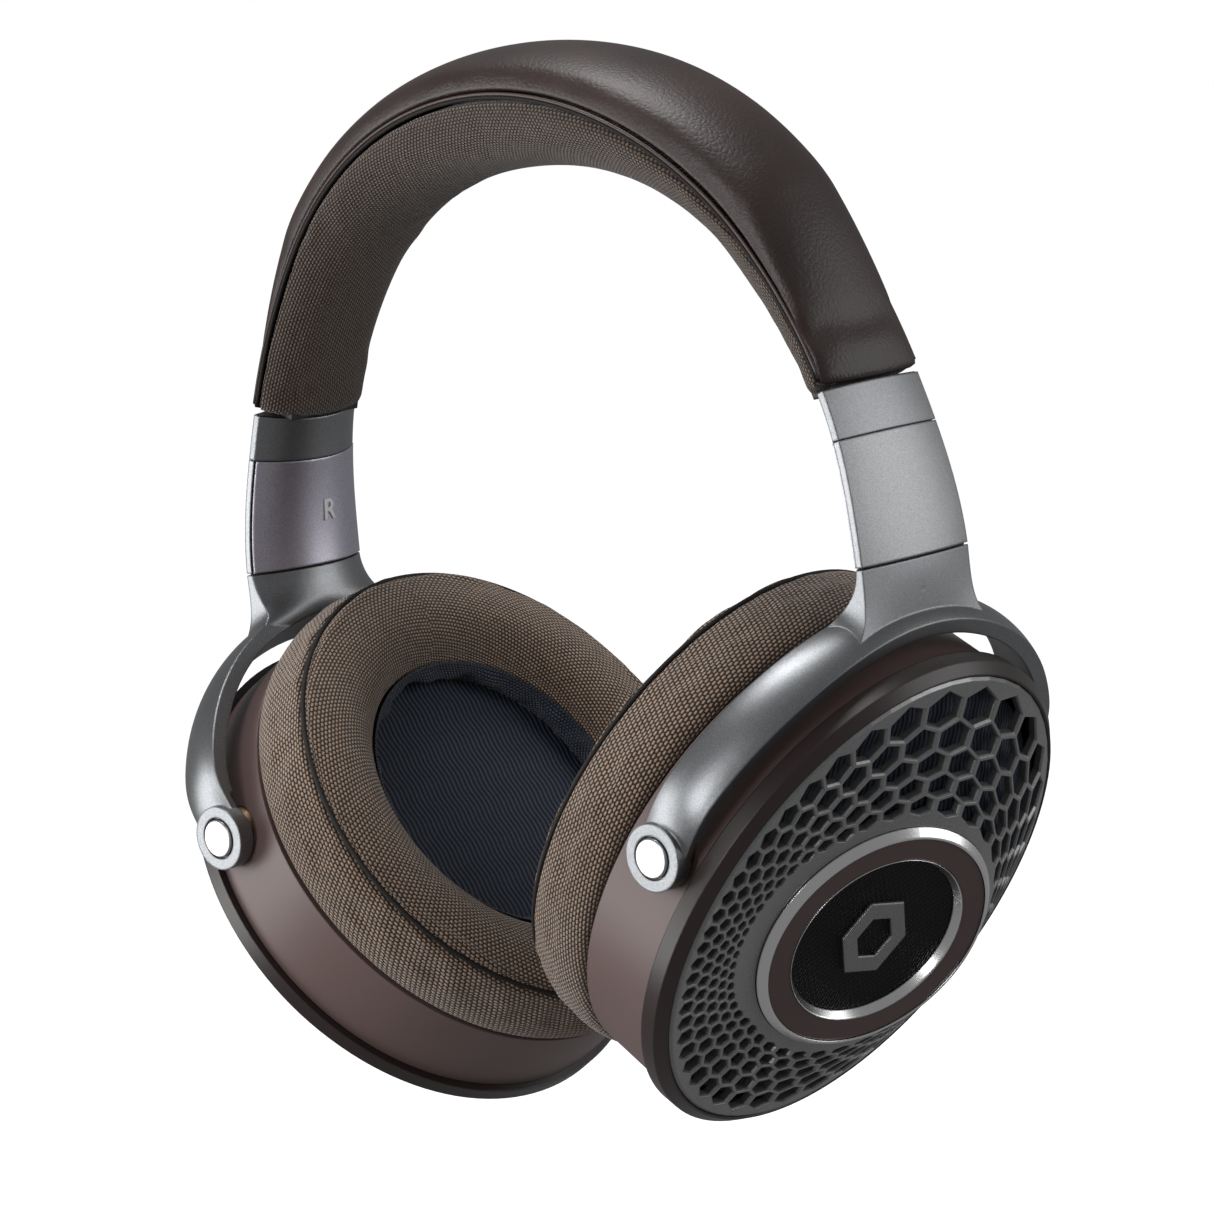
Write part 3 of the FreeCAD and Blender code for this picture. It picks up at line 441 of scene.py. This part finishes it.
def bandSizes(angleDeg):
    end = band["endDeg"]
    early = smoothStep((abs(angleDeg) - band["narrowFrom"]) / (end - band["narrowFrom"]))
    late = smoothStep((abs(angleDeg) - band["thinFrom"]) / (end - band["thinFrom"]))
    whole = smoothStep(abs(angleDeg) / end)
    half = band["apexHalf"] + (band["endHalf"] - band["apexHalf"]) * early
    leather = band["leatherApex"] + (band["leatherEnd"] - band["leatherApex"]) * late
    deep = band["seamRise"] + (band["padEnd"] - band["seamRise"]) * whole
    return half, leather, deep


# A fold's height is a bell curve of the distance from the band's end.
def foldHeight(key, fromEnd):
    height, middle, reach = folds[key]
    return height * math.exp(-((fromEnd - middle) / reach) ** 2)


# One half-round cover: bowed points turn from one seam to the other, then a flat back.
def bandCover(outward, stations, turns):
    rows, uvRows = [], []
    travelled, last = 0.0, None
    for angle in stations:
        half, leather, deep = bandSizes(angle)
        point, out = seamPoint(angle)
        if last is not None:
            travelled += float(np.linalg.norm(point - last))
        last = point
        fromEnd = (band["endDeg"] - abs(angle)) / 180 * math.pi * band["sideRadius"]
        row = []
        for turn in turns:
            away = abs(math.sin(turn)) ** band["roundness"]
            if outward:
                # the leather is pinched in by a soft crease a little above each cap
                crease = foldHeight("crease", fromEnd) * away
                bulge = foldHeight("bulge", fromEnd) * away
                height = band["parting"] + leather * away - crease + bulge
                tuck = foldHeight("leatherTuck", fromEnd) * away * (leather / band["tuckDeep"])
                height -= min(tuck, band["tuckLimit"])
            else:
                tuck = foldHeight("padTuck", fromEnd) * away
                height = -band["parting"] - deep * away + tuck
            row.append(point + out * height + np.array([0, half * math.cos(turn), 0]))
        rows.append(row)
        steps = np.linalg.norm(np.diff(np.array(row), axis=0), axis=1)
        around = np.concatenate([[0.0], np.cumsum(steps)])
        uvRows.append(np.stack([np.full(len(turns), travelled), around - around.mean()], 1))
    points = np.array(rows) * mm
    uv = np.array(uvRows) * mm
    return points, uv


stations = np.linspace(-band["endDeg"], band["endDeg"], 141)
bowTurns = np.linspace(0, math.pi, 33)
# points stand a little closer together near the seams
bowTurns = bowTurns - 0.02 * np.sin(2 * bowTurns)
for coverName, outward, material, slotName, node, slack, cap in (
        ("bandLeather", True, "leather", "leather", "headband_leather", 0.002, 0.2),
        ("bandPad", False, "bandFabric", "band_fabric", "headband_pad", 0.012, 0.4)):
    points, uv = bandCover(outward, stations, bowTurns)
    # the flat back closes the cover between its two seams
    closed = gridMesh(coverName, points, np.concatenate([uv, uv[:, :1]], 1), wrapCols=True, capEnds=True)
    flipIfInside(closed)
    piece = addPiece(coverName, closed, material, "headband", (node,))
    count, across, edge = len(stations), len(bowTurns), band["heldRows"]
    held = [i * across + j for i in range(count) for j in range(across)
            if i < edge or i >= count - edge or j < 1 or j > across - 2]
    puff(piece, held, slack, cap * mm)
print("headband covers made")


# A round cord along a line of points.
def tubeMesh(name, centres, normals, radius, sides=10, closed=False):
    centres = np.array(centres)
    normals = np.array(normals)
    ahead = np.roll(centres, -1, 0) - np.roll(centres, 1, 0)
    if not closed:
        ahead[0] = centres[1] - centres[0]
        ahead[-1] = centres[-1] - centres[-2]
    ahead /= np.linalg.norm(ahead, axis=1)[:, None]
    other = np.cross(ahead, normals)
    turns = np.linspace(0, 2 * math.pi, sides, endpoint=False)[None, :, None]
    ring = normals[:, None, :] * np.cos(turns) + other[:, None, :] * np.sin(turns)
    points = centres[:, None, :] + ring * radius
    mesh = gridMesh(name, points, None, wrapRows=closed, wrapCols=True, capEnds=not closed)
    flipIfInside(mesh)
    return mesh


cords = {"pipingLift": 0.25, "pipingAside": 0.02, "pipingR": 0.32, "threadDrop": 0.62, "threadR": 0.34}
for way, word in ((-1, "Front"), (1, "Back")):
    centres, outs = [], []
    for angle in stations[1:-1]:
        half = bandSizes(angle)[0]
        point, out = seamPoint(angle)
        aside = np.array([0, way * (half + cords["pipingAside"]), 0])
        centres.append((point + out * cords["pipingLift"] + aside) * mm)
        outs.append(out)
    piping = tubeMesh("bandPiping" + word, centres, outs, cords["pipingR"] * mm)
    addPiece("bandPiping" + word, piping, "piping", "headband")
    centres = [c - np.array(o) * cords["threadDrop"] * mm for c, o in zip(centres, outs)]
    thread = tubeMesh("bandSeam" + word, centres, outs, cords["threadR"] * mm)
    addPiece("bandSeam" + word, thread, "thread", "headband")
print("headband seams made")

# Cups: the middle of each, and the badge's place and turn on its face.
cup = {"x": 48.4134, "z": -125.9615, "eyeDrop": 4.8, "eyeHigh": 13.65, "eyeTurnDeg": 15.2}


# Local axes of a cup: out of the face, up the face, and towards the front.
def cupAxes(sign):
    tilt = math.radians(cupTilt)
    out = np.array([sign * math.cos(tilt), 0, -math.sin(tilt)])
    up = np.array([sign * math.sin(tilt), 0, math.cos(tilt)])
    front = np.array([0, -1.0, 0])
    centre = np.array([sign * cup["x"], 0, cup["z"]])
    return centre, up, front, out


def toRow(sign, upward, forward, outward):
    centre, up, front, out = cupAxes(sign)
    upward, forward, outward = np.broadcast_arrays(upward, forward, outward)
    return (centre + upward[..., None] * up + forward[..., None] * front + outward[..., None] * out) * mm


# Badge frame: turned towards the front by eyeTurnDeg.
def eyeToCup(upward, forward, outward):
    turn = math.radians(cup["eyeTurnDeg"])
    newForward = forward * math.cos(turn) + outward * math.sin(turn)
    newOut = -forward * math.sin(turn) + outward * math.cos(turn)
    return upward - cup["eyeDrop"], newForward, newOut + cup["eyeHigh"]


# Closed curve through a few points, eased by cubic pieces with shared slopes.
def closedCurve(points, steps):
    points = np.array(points, float)
    count = len(points)
    result = []
    for i in range(count):
        p0, p1, p2, p3 = (points[(i + step) % count] for step in (-1, 0, 1, 2))
        for s in np.linspace(0, 1, steps, endpoint=False):
            result.append(0.5 * ((2 * p1) + (p2 - p0) * s + (2 * p0 - 5 * p1 + 4 * p2 - p3) * s ** 2
                                 + (3 * p1 - p0 - 3 * p2 + p3) * s ** 3))
    return np.array(result)


pad = {"rings": 120, "seamR": 45.0, "seamOut": -26.95, "cordR": 0.42, "puffSlack": 0.025, "puffCap": 0.55,
       "fullOut": 0.6, "fullWide": 0.4, "fullFrom": 19.0, "fullInner": 30.0, "blend": 6.0,
       "dipR": 45.2, "dipOut": -26.9, "dipDeep": 0.5, "dipSpread": 0.5,
       "heldHole": 28.7, "heldSeam": (25.9, 27.9, 44.0),
       "clothAround": 0.040}
lining = {"r": 27.5, "top": -23.8, "deep": 5.4, "rows": 26, "fold": 1.3, "ripple": 1.6, "power": 1.4,
          "thick": 0.35, "clothAround": 0.030, "clothDeep": 0.02}


# Pad profile as radius and height, from the base round the seam to the hole and back.
def padProfile():
    shape = [
        (44.3, -15.2), (44.4, -13.6), (45.2, -13.1), (46.5, -14.0), (47.2, -16.4), (47.3, -19.5),
        (46.8, -23.2), (46.2, -25.4), (45.3, -26.75), (44.5, -27.8), (42.9, -28.9), (40.6, -29.8),
        (38.0, -30.2), (35.2, -29.9), (32.3, -28.6), (30.0, -26.6), (28.5, -24.0), (28.1, -21.0),
        (28.2, -18.2), (30.0, -17.7), (36.0, -17.7), (42.0, -17.7), (44.1, -17.4)]
    return closedCurve(shape, 4)


def makePad(side, sign):
    profile = padProfile()
    turns = np.linspace(0, 2 * math.pi, pad["rings"] + 1)
    sides = np.diff(np.vstack([profile, profile[:1]]), axis=0)
    length = np.concatenate([[0], np.cumsum(np.linalg.norm(sides, axis=1))])
    radius = profile[:, 0][None, :]
    height = profile[:, 1][None, :]
    angle = turns[:-1, None]
    # slow uneven fullness round the roll, and a dip where the seam draws it in
    full = 0.16 * np.sin(3 * angle + 0.7) + 0.12 * np.sin(7 * angle + 2.0)
    share = smoothStep((-height - pad["fullFrom"]) / pad["blend"])
    share = share * smoothStep((radius - pad["fullInner"]) / pad["blend"])
    seamAway = (radius - pad["dipR"]) ** 2 + (height - pad["dipOut"]) ** 2
    seamDip = np.exp(-(seamAway / pad["dipSpread"])) * pad["dipDeep"]
    height = height + full * share * pad["fullOut"] + seamDip
    radius = radius + full * share * pad["fullWide"] - seamDip
    points = toRow(sign, radius * np.cos(angle), radius * np.sin(angle), np.broadcast_to(height, radius.shape))
    uv = np.zeros((pad["rings"] + 1, len(profile) + 1, 2))
    uv[:, :, 0] = turns[:, None] * pad["clothAround"]
    uv[:, :, 1] = length[None, :] * mm
    mesh = gridMesh(side + "Pad", points, uv, wrapRows=True, wrapCols=True)
    flipIfInside(mesh)
    piece = addPiece(side + "Pad", mesh, "padFabric", side + "_cup", (side + "_ear_pad",))
    # held along the seam, down the base and round the hole
    above, below, beyond = pad["heldSeam"]
    seamed = (-height > above) & (-height < below) & (radius > beyond)
    still = seamed | (-height < pad["fullFrom"]) | (radius < pad["heldHole"])
    held = np.nonzero(np.broadcast_to(still, (pad["rings"], len(profile))).reshape(-1))[0]
    puff(piece, held, pad["puffSlack"], pad["puffCap"] * mm)
    seam = []
    for turn in turns[:-1]:
        seam.append(toRow(sign, pad["seamR"] * math.cos(turn), pad["seamR"] * math.sin(turn), pad["seamOut"]))
    normals = [cupAxes(sign)[3]] * len(seam)
    cord = tubeMesh(side + "PadSeam", np.array(seam), normals, pad["cordR"] * mm, closed=True)
    addPiece(side + "PadSeam", cord, "thread", side + "_cup")
    makeLining(side, sign, turns)


# Lining: a folded navy cloth that runs from the hole's lip down to the baffle.
def makeLining(side, sign, turns):
    rows = np.linspace(0, 1, lining["rows"])
    ring = turns[:, None]
    ripple = 0.35 * np.sin(11 * ring + 4 * rows[None, :]) + 0.2 * np.sin(23 * ring + 1.0)
    inward = (lining["fold"] + lining["ripple"] * ripple) * np.sin(math.pi * rows)[None, :] ** lining["power"]
    radius = lining["r"] - inward
    height = lining["top"] + lining["deep"] * rows[None, :] + 0 * ring
    inner = toRow(sign, radius * np.cos(ring), radius * np.sin(ring), height)
    radius = radius + lining["thick"]
    outer = toRow(sign, radius * np.cos(ring), radius * np.sin(ring), height)
    both = np.concatenate([inner, outer[:, ::-1]], 1)[:-1]
    uv = np.zeros((len(turns), 2 * lining["rows"] + 1, 2))
    uv[:, :, 0] = turns[:, None] * lining["clothAround"]
    uv[:, :, 1] = np.linspace(0, lining["clothDeep"], 2 * lining["rows"] + 1)[None, :]
    mesh = gridMesh(side + "Lining", both, uv, wrapRows=True, wrapCols=True)
    flipIfInside(mesh)
    addPiece(side + "Lining", mesh, "lining", side + "_cup")


# Honeycomb grille. Cells stand in rings between the outer circle and the badge;
# their width follows a slow cosine, so they grow towards the top and back.
# A second, doubled cosine makes them medium again at the bottom and small at the front.
grille = {"columns": 42, "rings": 5, "rimR": 45.8, "rimOut": 8.2, "holeR": 23.5, "holeOut": -1.2,
          "swing": 0.36, "bigDeg": -60.0, "swing2": 0.25, "bigDeg2": -10.0, "rowShare": 0.86,
          "margin": 1.3, "innerMargin": 1.7, "bar": 0.62, "shrink": 0.86, "thick": 1.7,
          "bevelDeep": 0.45, "bevelShare": 0.072, "widthR": 42.5, "flatShare": 0.87,
          "rimRound": 0.5, "rimCrown": 0.22, "rimDrop": 0.3, "rimDeep": 1.7}
# how far a cell's corners lean past its row's edges, as a share of the row
lean = 0.17


def ringPoints(radius, height, angle):
    return np.stack([radius * np.cos(angle), radius * np.sin(angle), height + 0 * angle], -1)


def holePoints(angle):
    hole = ringPoints(grille["holeR"], grille["holeOut"], angle)
    return np.stack(eyeToCup(hole[..., 0], hole[..., 1], hole[..., 2]), -1)


# A place on the face, at a distance inwards along the line from the rim to the hole.
def grilleSurface(angle, inward):
    outer = ringPoints(grille["rimR"], grille["rimOut"], angle)
    inner = holePoints(angle)
    length = np.linalg.norm(inner - outer, axis=-1)
    share = inward / length
    return outer + (inner - outer) * share[..., None], length


# Width of a column at an angle, against the mean width.
def widthShare(angle):
    first = grille["swing"] * np.cos(angle - math.radians(grille["bigDeg"]))
    second = grille["swing2"] * np.cos(2 * (angle - math.radians(grille["bigDeg2"])))
    return 1 + first + second


# Columns are counted off along the circle by summing one over the width share.
fineAngle = np.linspace(0, 2 * math.pi, 4001)
perAngle = 1 / widthShare(fineAngle)
fineCount = np.concatenate([[0], np.cumsum(0.5 * (perAngle[1:] + perAngle[:-1]))])
fineCount *= grille["columns"] / fineCount[-1]


def columnAngle(column):
    whole = np.floor(np.asarray(column) / grille["columns"])
    rest = np.asarray(column) - whole * grille["columns"]
    return np.interp(rest, fineCount, fineAngle) + whole * 2 * math.pi


def columnWidth(column):
    column = np.asarray(column)
    return (columnAngle(column + 0.5) - columnAngle(column - 0.5)) * grille["widthR"]


def makeGrille(side, sign):
    verts, faces = [], []

    def place(local):
        return toRow(sign, local[..., 0], local[..., 1], local[..., 2])

    def lattice(column, row):
        column = np.array(column, float)
        # row depths shrink inwards in equal ratio, so their sum is a geometric series;
        # the whole depth lies halfway between filling the space and even-sided cells
        shrink, last = grille["shrink"], grille["rings"] + 2 * lean
        total = (1 - shrink ** last) / (1 - shrink)
        reach = grilleSurface(columnAngle(column), 0 * column)[1]
        fill = reach - grille["margin"] - grille["innerMargin"]
        depth = np.minimum(fill, 0.5 * fill + 0.5 * grille["rowShare"] * columnWidth(column) * total)
        inward = grille["margin"] + depth * (1 - shrink ** row) / (1 - shrink ** last)
        return grilleSurface(columnAngle(column), inward)[0]

    # quads between closed rows of points, each row as long as the first
    def addBand(rows):
        base, count = len(verts), len(rows[0])
        for row in rows:
            verts.extend(place(row))
        for level in range(len(rows) - 1):
            near, far = base + level * count, base + (level + 1) * count
            for k in range(count):
                n = (k + 1) % count
                faces.append([near + k, near + n, far + n, far + k])

    down = np.array([0, 0, -1.0])
    for ring in range(grille["rings"]):
        for index in range(grille["columns"]):
            middle = index + 0.5 * (ring % 2)
            corners = [(middle, ring - lean), (middle + 0.5, ring + lean), (middle + 0.5, ring + 1 - lean),
                       (middle, ring + 1 + lean), (middle - 0.5, ring + 1 - lean), (middle - 0.5, ring + lean)]
            outer = np.array([lattice(c, r + lean) for c, r in corners])
            centre = outer.mean(0)
            spokes = outer - centre
            away = np.linalg.norm(spokes, axis=1)
            keep = 1 - (grille["bar"] / 2) / (away.mean() * grille["flatShare"])
            top = centre + spokes * keep
            low = centre + spokes * (keep - grille["bevelShare"]) + down * grille["bevelDeep"]
            floor = centre + spokes * (keep - grille["bevelShare"]) + down * grille["thick"]
            back = outer + down * grille["thick"]
            addBand((outer, top, low, floor, back))
    # plain bands: from the rim to the first cells, and from the last cells to the badge,
    # each with one edge that steps in and out as the cells' corners do
    steps = np.arange(0, grille["columns"], 0.5)

    def zigzag(row, inOn):
        return np.array([lattice(c, row + (2 * lean if round(c * 2) % 2 == inOn else 0)) for c in steps])

    zigTop = zigzag(0, 1)
    zigLow = zigzag(grille["rings"], (grille["rings"] - 1) % 2)
    angles = columnAngle(steps)
    rimTop = ringPoints(grille["rimR"] - grille["rimRound"], grille["rimOut"] + grille["rimCrown"], angles)
    rimEdge = ringPoints(grille["rimR"], grille["rimOut"] - grille["rimDrop"], angles)
    rimLow = rimEdge + down * grille["rimDeep"]
    eyeTop = holePoints(angles)
    eyeLow = eyeTop + down * grille["thick"]
    addBand((zigTop + down * grille["thick"], rimLow, rimEdge, rimTop, zigTop))
    addBand((zigLow, zigLow + (eyeTop - zigLow) * 0.5, eyeTop, eyeLow, zigLow + down * grille["thick"]))
    mesh = bpy.data.meshes.new(side + "Grille")
    mesh.from_pydata([tuple(v) for v in verts], [], faces)
    mesh.update()
    if sign < 0:
        mesh.flip_normals()
    piece = addPiece(side + "Grille", mesh, "grille", side + "_cup", (side + "_grille",))
    weld = piece.modifiers.new("weld", "WELD")
    weld.merge_threshold = 0.00002


# Plain six-sided ring on the badge's mesh: radius and height of each edge, from the
# outside over the top to the inside, and its stretch upwards.
emblem = {"edges": [(6.8, -1.5), (6.8, -0.85), (6.5, -0.7), (3.9, -0.7), (3.7, -0.85), (3.7, -1.5)],
          "stretch": 1.25}


def makeEmblem(side, sign):
    turns = np.radians(np.arange(0, 360, 60) + 30)
    rows = []
    for radius, level in emblem["edges"]:
        tall = radius * np.cos(turns) * emblem["stretch"]
        rows.append(toRow(sign, *eyeToCup(tall, radius * np.sin(turns), level + 0 * turns)))
    mesh = gridMesh(side + "Emblem", np.array(rows), None, wrapRows=True, wrapCols=True)
    for poly in mesh.polygons:
        poly.use_smooth = False
    flipIfInside(mesh)
    addPiece(side + "Emblem", mesh, "emblem", side + "_cup")


for side, sign in (("left", 1), ("right", -1)):
    makePad(side, sign)
    makeGrille(side, sign)
    makeEmblem(side, sign)
print("cups dressed")

# Thin dark strips in the seams above each cap and above and below each slider, painted shade that stands in
# for the shadow in those gaps:
# middle angle, half thickness in degrees, half width, and the body that carries it.
seamShadeStrips = {"top": (70.42, 0.05, 12.3, "headband"), "low": (75.5, 0.03, 12.35, "headband"),
           "neck": (88.0, 0.057, 13.6, "slider")}
# their section: depth outwards and inwards at the edges, and the crown added at the middle
seamShadeSection = {"out": -0.35, "outCrown": 0.9, "in": 1.1, "inCrown": 4.9}


# one dark strip of painted shade filling a seam gap, carried by the headband or the slider
def makeSeamShade(side, sign, key):
    angleDeg, halfDeg, half, body = seamShadeStrips[key]
    rows = []
    steps = np.linspace(-1, 1, 25)
    flip = np.array([sign, 1, 1])
    for angle in (angleDeg - halfDeg, angleDeg + halfDeg):
        point, out = seamPoint(angle)
        outer, inner = [], []
        for step in steps:
            crown = 1 - step ** 2
            aside = np.array([0, half * step, 0])
            outward = seamShadeSection["outCrown"] * crown + seamShadeSection["out"]
            inward = seamShadeSection["in"] + seamShadeSection["inCrown"] * crown
            outer.append((point + out * outward) * flip + aside)
            inner.append((point - out * inward) * flip + aside)
        rows.append(outer + inner[::-1])
    mesh = gridMesh(side + key + "SeamShade", np.array(rows) * mm, None, wrapCols=True, capEnds=True)
    flipIfInside(mesh)
    owner = "headband" if body == "headband" else side + "_slider"
    addPiece(side + key + "SeamShade", mesh, "black", owner)


for side, sign in (("left", 1), ("right", -1)):
    for key in seamShadeStrips:
        makeSeamShade(side, sign, key)

# Letters on the inner plates.
letter = {"size": 5.6, "angleDeg": 81.9, "deep": 6.6, "shift": 1.9, "bold": 0.14,
          "edge": 1.8, "plateHalf": 13.3, "lift": 0.1, "thick": 0.06}


def makeLetter(side, sign, text):
    curve = bpy.data.curves.new(side + "Letter", "FONT")
    curve.body = text
    curve.size = letter["size"] * mm
    curve.extrude = letter["thick"] * mm
    curve.offset = letter["bold"] * mm
    curve.align_x = "CENTER"
    curve.align_y = "CENTER"
    holder = bpy.data.objects.new(side + "LetterText", curve)
    bpy.context.scene.collection.objects.link(holder)
    bpy.context.view_layer.update()
    mesh = bpy.data.meshes.new_from_object(holder.evaluated_get(bpy.context.evaluated_depsgraph_get()))
    bpy.data.objects.remove(holder)
    mesh.name = side + "Letter"
    point, out = seamPoint(letter["angleDeg"])
    point, out = point * np.array([sign, 1, 1]), out * np.array([sign, 1, 1])
    along = np.array([-out[2], 0, out[0]])
    if along[2] < 0:
        along = -along
    across = np.cross(along, -out)
    # the plate is bowed, so each point stands off its curve by the same small lift
    for vert in mesh.vertices:
        x, y, z = vert.co
        aside = x + letter["shift"] * mm
        share = aside * across[1] / mm / letter["plateHalf"]
        bow = letter["edge"] + (letter["deep"] - letter["edge"]) * (1 - share ** 2)
        place = point * mm + across * aside + along * y - out * ((bow + letter["lift"]) * mm + z)
        vert.co = place
    addPiece(side + "Letter", mesh, "letter", side + "_slider")


makeLetter("left", 1, "L")
makeLetter("right", -1, "R")

# Materials of the CAD pieces.
finish = {
    "headband_spring": "steel", "end_cap": "satin", "slider_guide": "black", "detent_spring": "steel",
    "slider_strip": "steel", "slider_outer_shell": "shell", "slider_inner_plate": "violet",
    "swivel_shaft": "steel", "yoke": "satin", "swivel_bush": "bronze", "pivot_pins": "pin",
    "cup_housing": "taupe", "trim_ring": "brown", "eye_bezel": "polished", "badge_ring": "badge",
    "baffle": "black", "driver_frame": "black", "driver_magnet": "steel", "driver_diaphragm": "steel",
    "pad_ring": "black", "jack_socket": "gold", "baffle_screws": "steel", "pivot_bushes": "bronze",
}
for name, node in nodes.items():
    side = name.split("_")[0]
    key = name[len(side) + 1:] if side in ("left", "right") else name
    if key in ("grille_cloth", "baffle_cloth"):
        chosen = materials[side + "Navy"]
    elif key == "eye_mesh":
        chosen = materials[side + "Mesh"]
    elif key in finish:
        chosen = materials[finish[key]]
    else:
        continue
    node.data.materials.clear()
    node.data.materials.append(chosen)

# Camera, light and floor. Camera rays see a brighter backdrop than the light it gives.
view = {"turn": 43.42, "rise": 6.92, "roll": -6.6, "spot": (0.59729, -0.62832, 0.02601), "lens": 144.59}
turn, rise, roll = (math.radians(view[k]) for k in ("turn", "rise", "roll"))
back = Vector((math.sin(turn) * math.cos(rise), -math.cos(turn) * math.cos(rise), math.sin(rise)))
right = Vector((math.cos(turn), math.sin(turn), 0))
upward = back.cross(right)
rolledRight = right * math.cos(roll) + upward * math.sin(roll)
rolledUp = upward * math.cos(roll) - right * math.sin(roll)
lensData = bpy.data.cameras.new("camera")
lensData.lens = view["lens"]
lensData.sensor_width = 36.0
lensData.clip_start = 0.01
camera = bpy.data.objects.new("camera", lensData)
bpy.context.scene.collection.objects.link(camera)
matrix = Matrix((rolledRight, rolledUp, back)).transposed().to_4x4()
matrix.translation = Vector(view["spot"])
camera.matrix_world = matrix
bpy.context.scene.camera = camera


def areaLight(name, place, aim, width, height, power):
    data = bpy.data.lights.new(name, "AREA")
    data.shape = "RECTANGLE"
    data.size = width
    data.size_y = height
    data.energy = power
    lamp = bpy.data.objects.new(name, data)
    lamp.location = place
    direction = Vector(aim) - Vector(place)
    lamp.rotation_euler = direction.to_track_quat("-Z", "Y").to_euler()
    bpy.context.scene.collection.objects.link(lamp)
    return lamp


# where each lamp stands, then its width, height and power; all aim at the middle
middle = (0, 0, -0.08)
lamps = [
    areaLight("frontBox", (0.15, -1.05, 0.25), middle, 0.4, 0.6, 4.5),
    areaLight("backBox", (0.85, 0.8, 0.12), middle, 0.7, 0.8, 3.4),
    areaLight("topBox", (-0.12, 0.1, 0.95), middle, 0.5, 0.35, 6.5),
    areaLight("leftBox", (-0.8, -0.82, 0.0), middle, 0.7, 1.0, 9),
]
for lamp in lamps:
    lamp.visible_camera = False
studio = {"ambient": 0.22, "seenLift": 0.78, "floorHalf": 9, "floorZ": -0.42, "floorGlow": 0.85}
world = bpy.data.worlds.new("studio")
bpy.context.scene.world = world
world.use_nodes = True
worldTree = world.node_tree
sky = worldTree.nodes["Background"]
sky.inputs["Color"].default_value = (1, 1, 1, 1)
path = addNode(worldTree, "ShaderNodeLightPath")
strength = scaled(worldTree, path.outputs["Is Camera Ray"], studio["seenLift"], studio["ambient"])
link(worldTree, strength, sky.inputs["Strength"])
floorMesh = bpy.data.meshes.new("floor")
corners = [(x * studio["floorHalf"], y * studio["floorHalf"], studio["floorZ"])
           for x, y in ((-1, -1), (1, -1), (1, 1), (-1, 1))]
floorMesh.from_pydata(corners, [], [(0, 1, 2, 3)])
floor = bpy.data.objects.new("floor", floorMesh)
bpy.context.scene.collection.objects.link(floor)
floorMat, _, floorShader = newMaterial("paleFloor", (0.85, 0.85, 0.85), 0.9)
floorShader.inputs["Emission Color"].default_value = (1, 1, 1, 1)
floorShader.inputs["Emission Strength"].default_value = studio["floorGlow"]
floor.visible_diffuse = False
floor.visible_glossy = False
floorMesh.materials.append(floorMat)
bpy.context.scene.view_settings.view_transform = "Standard"
print("stage set")
